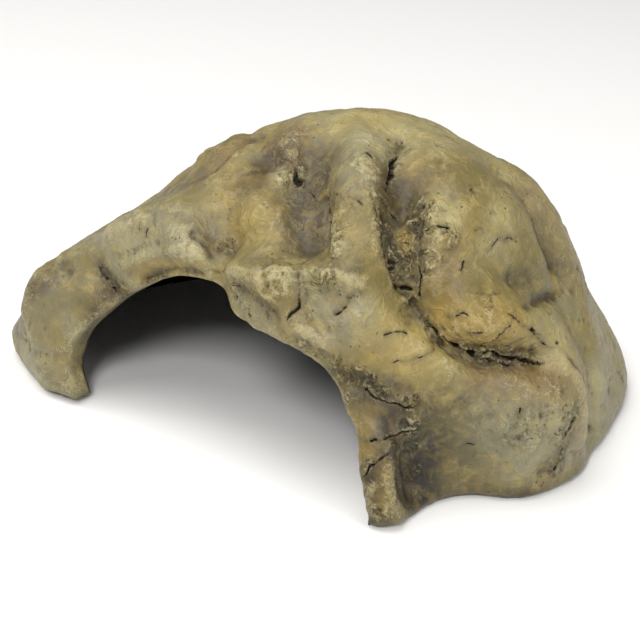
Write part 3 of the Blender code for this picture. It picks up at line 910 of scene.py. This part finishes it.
def brushed(rest, surface):
    """The rock's colours before the wash and painted shade of the hollows and the cream of the crests,
    one row for each vertex; the tints hold painted shade and highlight of their own.
    """
    colour = np.tile(PAINTS["khaki"], (len(rest), 1))
    for paint, strength, size, seed, low, high in (
        ("ochre", 0.5, 34.0, 211, 0.0, 0.7),
        ("stone", 0.6, 30.0, 223, 0.05, 0.7),
        ("olive", 0.5, 24.0, 227, 0.1, 0.8),
    ):
        colour = mix(colour, PAINTS[paint], strength * smooth_step(fractal(rest, size, seed), low, high))
    edge = warped(rest, 11.0, 2.0, 231)
    uneven = 0.85 + 0.25 * noise(rest, 3.5, 241)
    for paint, strength, half_width, places in TINTS:
        line = surface.line(places, 2.0) if len(places) > 1 else np.array([surface.spot(*places[0])] * 2)
        gap = line_gap(edge, line, 2.4 * half_width)[0]
        cover = smooth_step(gap, 1.9 * half_width, 0.35 * half_width) * uneven
        colour = mix(colour, PAINTS[paint], np.clip(strength * cover, 0, 1))
    level = colour.mean(axis=1, keepdims=True)
    return np.array(TONE) * colour * (level / MIDDLE_LEVEL) ** TONE_CONTRAST


def hollowness(points, links, normals, rounds):
    """How far below (+) or above (-) the average of the skin round it each vertex lies."""
    return np.einsum("ij,ij->i", links.smooth(points, rounds, 0.6) - points, normals)


def paint_rock(mesh, rest, points, marks, surface):
    """Writes the tints and the masks that the painted resin reads, one value for each vertex."""
    links = Links(mesh)
    normals = vertex_array(mesh, "normal")
    fine = hollowness(points, links, normals, 4)
    middle = hollowness(points, links, normals, 30)
    broad = hollowness(points, links, normals, 160)
    broken = 0.5 + 0.5 * noise(rest, 2.2, 251)
    # Dark paint in the small hollows as a wash lies, and painted shade in the broader valleys and along
    # creases and cracks
    wash_and_shade = 0.75 * smooth_step(fine, 0.03, 0.22) + 0.4 * smooth_step(middle, 0.18, 0.95)
    wash_and_shade = wash_and_shade + 0.42 * smooth_step(broad, 0.4, 3.0)
    wash_and_shade = np.clip(wash_and_shade * (0.6 + 0.6 * broken) + 0.55 * marks["crease_shade"], 0, 1)
    # Cream on raised places: dry brushing on the small ones, and partly painted highlight, more of it
    # where the broad form rises
    crest = smooth_step(-fine, 0.02, 0.16) + 0.35 * smooth_step(-middle, 0.15, 0.9)
    crest = crest * (0.15 + 0.6 * marks["patch"] + 0.2 * smooth_step(-broad, 0.5, 2.5))
    crest = np.clip(crest, 0, 1) * smooth_step(rest[:, 2], 1.0, 6.0)
    # Painted shade in the cracks, in the crumbs' gaps and in the pits
    crack = np.clip(np.maximum(marks["depth"], 0.85 * marks["holes"]) + 0.8 * marks["pits"], 0, 1)

    tint = mesh.attributes.new("tint", "FLOAT_COLOR", "POINT")
    colour = np.ones((len(rest), 4), np.float32)
    colour[:, :3] = brushed(rest, surface)
    tint.data.foreach_set("color", colour.ravel())
    layers = {"wash_and_shade": wash_and_shade, "crest": crest * (1 - crack), "crack": crack, "rough": marks["patch"],
              "inside": marks["inside"]}
    for name, values in layers.items():
        layer = mesh.attributes.new(name, "FLOAT", "POINT")
        layer.data.foreach_set("value", values.astype(np.float32))


# ---------------- materials

# The colour sockets of a mix node, by their order
MIX_A, MIX_B, MIX_RESULT = 6, 7, 2

BLACK = (0.003, 0.003, 0.003, 1.0)
WARM_BLACK = (0.008, 0.006, 0.005, 1.0)
RUBBER = (0.012, 0.012, 0.013, 1.0)
DUST = (0.06, 0.055, 0.05, 1.0)


class Shading:
    """Short ways to add nodes to one material."""

    def __init__(self, name):
        self.material = bpy.data.materials.new(name)
        self.material.use_nodes = True
        self.tree = self.material.node_tree
        self.shader = self.tree.nodes["Principled BSDF"]
        self.place = self.tree.nodes.new("ShaderNodeTexCoord").outputs["Object"]

    def put(self, value, socket):
        if isinstance(value, bpy.types.NodeSocket):
            self.tree.links.new(value, socket)
        else:
            socket.default_value = value

    def node(self, kind, inputs, **settings):
        """A new node with these settings, its inputs set to values or linked to sockets."""
        node = self.tree.nodes.new("ShaderNode" + kind)
        for name, value in settings.items():
            setattr(node, name, value)
        for key, value in inputs.items():
            self.put(value, node.inputs[key])
        return node

    def attribute(self, name, output="Fac"):
        return self.node("Attribute", {}, attribute_name=name).outputs[output]

    def noise(self, size, detail=3.0, roughness=0.55, distortion=0.0):
        """Noise from 0 to 1 with features of about size millimetres."""
        inputs = {"Vector": self.place, "Scale": 1.0 / (size * MM), "Detail": detail,
                  "Roughness": roughness, "Distortion": distortion}
        return self.node("TexNoise", inputs).outputs["Fac"]

    def cells(self, size):
        """Distance, in cells, to the nearest of a scatter of points about size millimetres apart."""
        inputs = {"Vector": self.place, "Scale": 1.0 / (size * MM)}
        return self.node("TexVoronoi", inputs).outputs["Distance"]

    def maths(self, operation, a, b, clamp=False):
        return self.node("Math", {0: a, 1: b}, operation=operation, use_clamp=clamp).outputs[0]

    def times(self, a, b):
        return self.maths("MULTIPLY", a, b)

    def larger(self, a, b):
        return self.maths("MAXIMUM", a, b)

    def span(self, value, low, high, to_low=0.0, to_high=1.0):
        """The value's run from low to high, carried over smoothly to to_low and to_high."""
        inputs = {"Value": value, "From Min": low, "From Max": high, "To Min": to_low, "To Max": to_high}
        return self.node("MapRange", inputs, interpolation_type="SMOOTHSTEP").outputs["Result"]

    def ridges(self, value, half_width):
        """1 along the lines where the noise passes its middle, falling to 0 at half_width from it."""
        away = self.maths("ABSOLUTE", self.maths("SUBTRACT", value, 0.5), 0.0)
        return self.span(away, half_width, 0.0)

    def blend(self, factor, a, b, mode="MIX"):
        inputs = {"Factor": factor, MIX_A: a, MIX_B: b}
        return self.node("Mix", inputs, data_type="RGBA", blend_type=mode).outputs[MIX_RESULT]

    def shaded(self, colour, weight, low, high):
        """The colour, darkened to low where the weight is 0 and lightened to high where it is 1."""
        return self.blend(1.0, colour, self.blend(weight, grey(low), grey(high)), "MULTIPLY")

    def finish(self, colour, roughness, height, depth, strength):
        """Sets the shader's colour and roughness, and its bump, whose depth is in millimetres."""
        inputs = {"Strength": strength, "Distance": depth * MM, "Height": height}
        self.put(colour, self.shader.inputs["Base Color"])
        self.put(roughness, self.shader.inputs["Roughness"])
        self.put(self.node("Bump", inputs).outputs["Normal"], self.shader.inputs["Normal"])
        return self.material


def opaque(colour, scale=1.0):
    return (*(float(c) * scale for c in colour), 1.0)


def grey(value):
    return (value, value, value, 1.0)


def resin_paint():
    """Hand-painted polyresin: brushed tints, among them painted shade and highlight, a dark wash in the
    hollows that is partly painted shade, cream on the crests that is partly a painted highlight, and
    painted shade in the cracks and pits.
    """
    s = Shading("painted_resin")
    grain = s.noise(0.55, 3.0, 0.6)
    streak = s.noise(1.1, 6.0, 0.65, 0.3)
    wrinkle = s.ridges(s.noise(4.4, 4.0, 0.5, 0.5), 0.10)
    patches = s.noise(8.0, 5.0, 0.6, 0.4)
    drift = s.noise(3.6, 4.0, 0.6, 0.5)
    rough = s.attribute("rough")
    crack = s.attribute("crack")
    inside = s.attribute("inside")

    # The tints, uneven on every scale
    colour = s.attribute("tint", "Color")
    colour = s.blend(s.span(drift, 0.40, 0.80, 0.0, 0.40), colour, opaque(PAINTS["ochre"]))
    colour = s.blend(s.span(drift, 0.45, 0.20, 0.0, 0.15), colour, opaque(PAINTS["plum"]))
    colour = s.shaded(colour, s.span(patches, 0.30, 0.68), 0.86, 1.10)
    colour = s.shaded(colour, s.span(grain, 0.3, 0.7), 0.95, 1.04)

    # The dark wash in the hollows, which is partly painted shade, then the cream: broken strokes, dry
    # brushing that is partly a painted highlight, and faint wrinkles
    wash_and_shade = s.maths("MULTIPLY", s.attribute("wash_and_shade"), s.span(streak, 0.2, 0.8, 0.7, 1.1), True)
    colour = s.blend(wash_and_shade, colour, opaque(PAINTS["umber"], 0.75))
    crest = s.attribute("crest")
    strokes = s.times(s.ridges(s.noise(1.9, 4.0, 0.6, 0.9), 0.035), s.span(crest, 0.02, 0.3))
    faint = s.times(wrinkle, s.span(patches, 0.45, 0.62, 0.0, 0.10))
    # Cream on raised places: dry brushing, partly a painted highlight
    drybrush_and_highlight = s.span(s.maths("ADD", crest, streak), 0.70, 1.60, 0.0, 0.60)
    cream = s.larger(s.times(strokes, 0.45), s.larger(drybrush_and_highlight, faint))
    colour = s.blend(cream, colour, opaque(PAINTS["cream"]))

    # Painted shade in pin holes, cracks and thin veins of the rough patches, and the near-black inside,
    # which also stands in for the cave's inner shade
    dots = s.times(s.span(s.cells(2.1), 0.16, 0.07), s.span(s.noise(11.0, 2.0), 0.5, 0.62))
    colour = s.blend(s.times(dots, 0.8), colour, opaque(PAINTS["deep_shade"], 0.5))
    veins = s.times(s.ridges(s.noise(4.5, 3.0, 0.6, 1.0), 0.02), s.span(rough, 0.2, 0.6))
    gap = s.span(s.maths("ADD", crack, s.times(drift, 0.2)), 0.25, 0.75)
    gap = s.larger(gap, s.times(veins, s.span(drift, 0.4, 0.55, 0.2, 0.9)))
    colour = s.blend(gap, colour, opaque(PAINTS["umber"], 0.16))
    # Near-black paint inside, which also stands in for the cave's inner shade
    colour = s.blend(inside, colour, s.blend(patches, BLACK, WARM_BLACK))

    # Dark places are dull
    roughness = s.span(streak, 0.3, 0.7, 0.34, 0.52)
    roughness = s.maths("ADD", roughness, s.times(s.larger(gap, inside), 0.3))
    s.shader.inputs["Specular IOR Level"].default_value = 0.4

    height = s.times(grain, 0.2)
    height = s.maths("ADD", height, s.times(streak, s.span(rough, 0.0, 0.6, 0.45, 2.6)))
    height = s.maths("ADD", height, s.times(wrinkle, s.span(patches, 0.35, 0.6, 0.05, 0.7)))
    height = s.maths("SUBTRACT", height, s.larger(dots, veins))
    return s.finish(colour, roughness, height, 0.34, 0.8)


def pad_rubber():
    """Black rubber of the stick-on feet, with dust in its pores."""
    s = Shading("pad_rubber")
    pores = s.noise(0.25, 4.0, 0.6)
    colour = s.blend(s.span(s.noise(1.4, 3.0, 0.6), 0.45, 0.75, 0.0, 0.5), RUBBER, DUST)
    return s.finish(colour, s.span(pores, 0.3, 0.7, 0.62, 0.88), pores, 0.08, 0.6)


# ---------------- the stage

def look_at(thing, place, target):
    thing.location = place
    thing.rotation_euler = (Vector(place) - Vector(target)).to_track_quat("Z", "Y").to_euler()


def add_camera():
    turn, rise = math.radians(VIEW_TURN), math.radians(VIEW_RISE)
    away = np.array([math.sin(turn) * math.cos(rise), -math.cos(turn) * math.cos(rise), math.sin(rise)])
    target = AXIS + np.array(VIEW_TARGET) * MM
    data = bpy.data.cameras.new("camera")
    data.lens = LENS
    data.sensor_width = SENSOR
    data.clip_start = 0.01
    data.clip_end = 20.0
    camera = add_object("camera", data)
    look_at(camera, target + away * VIEW_DISTANCE * MM, target)
    bpy.context.scene.camera = camera


def add_lights():
    for name, place, size, power, colour in LIGHTS:
        data = bpy.data.lights.new(name, "AREA")
        data.size = size
        data.energy = power
        data.color = colour
        look_at(add_object(name, data), place, LIT_POINT)
    world = bpy.data.worlds.new("studio")
    world.use_nodes = True
    backdrop = world.node_tree.nodes["Background"]
    backdrop.inputs["Color"].default_value = grey(1.0)
    backdrop.inputs["Strength"].default_value = WORLD_LIGHT
    bpy.context.scene.world = world
    bpy.context.scene.view_settings.view_transform = "Standard"


def add_floor():
    mesh = bpy.data.meshes.new("floor")
    bm = bmesh.new()
    bmesh.ops.create_grid(bm, x_segments=1, y_segments=1, size=PAPER_HALF)
    bm.to_mesh(mesh)
    bm.free()
    floor = add_object("floor", mesh)
    paper = bpy.data.materials.new("paper")
    paper.use_nodes = True
    shader = paper.node_tree.nodes["Principled BSDF"]
    shader.inputs["Base Color"].default_value = grey(PAPER_WHITE)
    shader.inputs["Roughness"].default_value = 0.9
    mesh.materials.append(paper)


rock = welded_copy("cave_rock", "cave_shell")
smoothed, surface = smooth_casting(rock)
thin_inside(rock, smoothed)
refine(rock.data, surface)
rest, points, marks = sculpt(rock.data, surface)
paint_rock(rock.data, rest, points, marks, surface)
rock.data.materials.clear()
rock.data.materials.append(resin_paint())
rubber = pad_rubber()
for name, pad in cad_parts.items():
    if name.startswith("foot_pad"):
        pad.material_slots[0].material = rubber
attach(rock, "root")
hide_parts("cave_shell")
add_floor()
add_lights()
add_camera()
